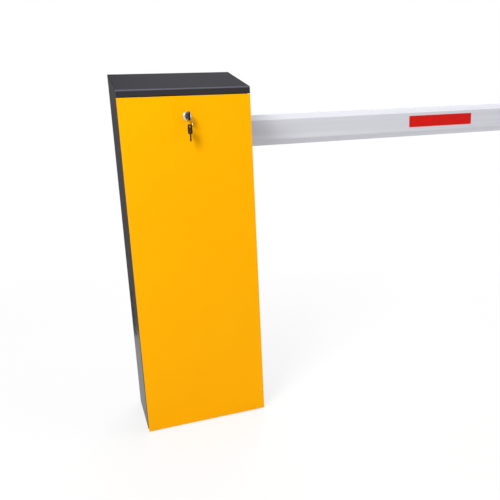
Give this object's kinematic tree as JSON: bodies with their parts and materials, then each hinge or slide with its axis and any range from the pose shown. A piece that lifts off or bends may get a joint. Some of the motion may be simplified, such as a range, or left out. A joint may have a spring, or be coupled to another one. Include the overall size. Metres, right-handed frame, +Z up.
{
  "type": "boom barrier",
  "caption": "Automatic parking boom barrier: a floor cabinet with a tilting front cover and a shaft-driven lifting boom with a crank linkage and balance spring.",
  "frame": {"origin": "centre of the four anchor holes on the underside of the base plate, at ground level", "axes": "+X along the lowered boom, +Y from the front cover to the back panel, +Z up"},
  "size_m": [3.058, 0.3258, 1.0005],
  "materials": {
    "yellow_paint": "semi-gloss powder coat",
    "body_paint": "semi-gloss anthracite powder coat",
    "roof_paint": "satin anthracite powder coat",
    "base_steel": "satin primer",
    "zinc_steel": "zinc plated",
    "fasteners": "bright zinc plated",
    "dark_steel": "phosphated",
    "bearing_steel": "ground",
    "spring_steel": "oiled",
    "cast_housing": "painted casting",
    "motor_paint": "painted casting",
    "sensor_brass": "plated brass",
    "lock_chrome": "polished chrome",
    "ring_wire": "polished",
    "key_plastic": "moulded",
    "black_plastic": "moulded",
    "grey_plastic": "moulded",
    "board": "solder mask",
    "rubber": "matte",
    "boom_aluminium": "brushed anodised",
    "red_reflective": "retro-reflective film"
  },
  "bodies": {
    "cabinet": {"base_plate": "base_steel", "side_panel_left": "body_paint", "side_panel_right": "body_paint", "back_panel": "body_paint", "top_cover": "roof_paint", "roof_screws": "fasteners", "door_seals": "rubber", "hinge_brackets": "zinc_steel", "hinge_pins": "fasteners", "cable_grommet": "rubber", "mechanism_plate": "zinc_steel", "mechanism_bolts": "fasteners", "shaft_housing": "cast_housing", "shaft_bearings": "bearing_steel", "shaft_seal": "rubber", "gearbox": "cast_housing", "sensors": "sensor_brass", "sensor_brackets": "zinc_steel", "motor": "motor_paint", "fan_cover": "black_plastic", "motor_terminal_box": "black_plastic", "stop_buffers": "rubber", "buffer_studs": "fasteners", "balance_spring": "spring_steel", "spring_adjuster": "fasteners", "adjuster_nuts": "fasteners", "spring_bracket": "zinc_steel", "electrics_plate": "zinc_steel", "control_box": "grey_plastic", "control_lid": "grey_plastic", "circuit_board": "board"},
    "boom_arm": {"main_shaft": "bearing_steel", "shaft_keys": "fasteners", "shaft_lever": "dark_steel", "lever_pins": "fasteners", "lever_bolt": "fasteners", "boom_holder": "body_paint", "boom_clamp_plate": "body_paint", "clamp_bolts": "fasteners", "clamp_nuts": "fasteners", "boom": "boom_aluminium", "boom_caps": "black_plastic", "reflective_strips": "red_reflective"},
    "drive_link": {"drive_rod": "fasteners", "rod_ends": "zinc_steel", "rod_locknuts": "fasteners"},
    "crank": {"output_shaft": "bearing_steel", "crank_arm": "dark_steel", "crank_pin": "fasteners", "sensor_target": "zinc_steel"},
    "spring_hanger": {"spring_link": "zinc_steel"},
    "cover": {"front_cover": "yellow_paint", "lock_body": "lock_chrome", "lock_nut": "fasteners"},
    "lock_core": {"lock_plug": "lock_chrome", "lock_cam": "zinc_steel", "cam_screw": "fasteners", "key": "key_plastic"},
    "ring": {"key_ring": "ring_wire"},
    "spare": {"spare_key": "key_plastic"}
  },
  "joints": [
    {"name": "boom_pivot", "type": "hinge", "parent": "cabinet", "child": "boom_arm", "pos_m": [0, 0, 0.825], "axis": [0, -1, 0], "range_deg": [0, 90], "deforming": ["balance_spring"]},
    {"name": "crank_turn", "type": "hinge", "parent": "cabinet", "child": "crank", "pos_m": [0, 0, 0.48], "axis": [0, -1, 0], "range_deg": [0, 90]},
    {"name": "rod_swing", "type": "hinge", "parent": "boom_arm", "child": "drive_link", "pos_m": [0.06364, 0, 0.76136], "axis": [0, -1, 0], "range_deg": [-90, 0]},
    {"name": "hanger_swing", "type": "hinge", "parent": "boom_arm", "child": "spring_hanger", "pos_m": [-0.06364, 0, 0.88864], "axis": [0, -1, 0], "range_deg": [-90, 0]},
    {"name": "cover_tilt", "type": "hinge", "parent": "cabinet", "child": "cover", "pos_m": [0, -0.091, 0.014], "axis": [1, 0, 0], "range_deg": [0, 80]},
    {"name": "lock_turn", "type": "hinge", "parent": "cover", "child": "lock_core", "pos_m": [0, -0.1, 0.876], "axis": [0, 1, 0], "range_deg": [0, 90]},
    {"name": "ring_swing", "type": "hinge", "parent": "lock_core", "child": "ring", "pos_m": [0, -0.126, 0.86885], "axis": [1, 0, 0], "range_deg": [-80, 10]},
    {"name": "spare_swing", "type": "hinge", "parent": "ring", "child": "spare", "pos_m": [0, -0.126, 0.85085], "axis": [1, 0, 0], "range_deg": [-20, 20]}
  ],
  "couplings": [
    {"joint": "crank_turn", "follows": "boom_pivot", "ratio": 1},
    {"joint": "rod_swing", "follows": "boom_pivot", "ratio": -1},
    {"joint": "hanger_swing", "follows": "boom_pivot", "ratio": -1}
  ]
}
